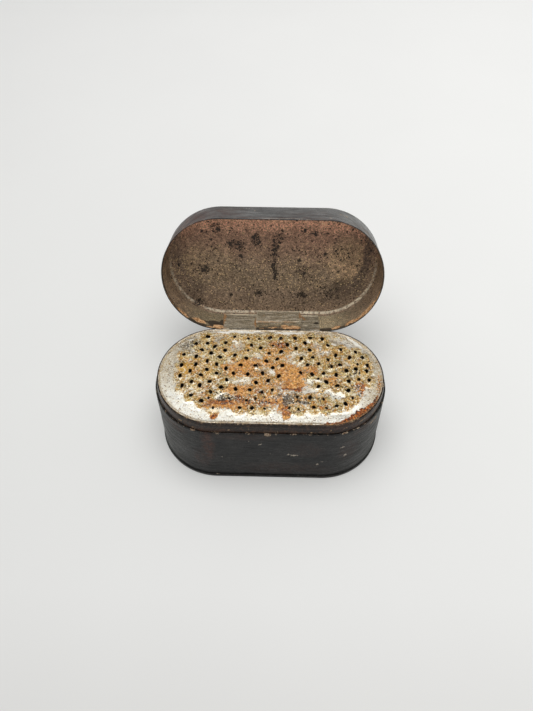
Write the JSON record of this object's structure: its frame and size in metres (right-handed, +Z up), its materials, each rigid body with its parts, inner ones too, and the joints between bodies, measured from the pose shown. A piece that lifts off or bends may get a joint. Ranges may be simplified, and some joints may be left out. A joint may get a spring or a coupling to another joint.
{
  "type": "pocket nutmeg grater",
  "caption": "Small oblong japanned tin box with a punched grating set in its mouth and a deep lid hinged along one long side.",
  "frame": {"origin": "centre of the underside, on the surface that the box stands on", "axes": "+X along the box, +Y from the front to the hinge side, +Z up; rest pose is the lid open at its stop"},
  "size_m": [0.0604, 0.0579, 0.0501],
  "materials": {
    "japan_body": "black japan lacquer, worn semi-gloss",
    "japan_collar": "dark brown-black japan, glossier, chipped at the ledge",
    "tinned_grating": "bright tinplate with rust and olive tarnish",
    "hinge_wire": "dull iron wire",
    "japan_lid_wall": "slate-black japan outside, brown and rusting at the mouth inside",
    "japan_lid_top": "brown lacquer inside, pitted and speckled",
    "hinge_strap": "thin grey-green lacquer over tinplate"
  },
  "bodies": {
    "body": {"base_wall": "japan_body", "base_bottom": "japan_body", "base_collar": "japan_collar", "grater_plate": "tinned_grating", "base_hinge_leaf": "japan_body", "hinge_pin": "hinge_wire"},
    "lid": {"lid_wall": "japan_lid_wall", "lid_top": "japan_lid_top", "lid_hinge_leaf": "hinge_strap", "lid_hinge_bridge": "hinge_strap"}
  },
  "joints": [
    {"name": "lid_hinge", "type": "hinge", "parent": "body", "child": "lid", "pos_m": [0, 0.0168, 0.0207], "axis": [1, 0, 0], "range_deg": [0, 114]}
  ]
}
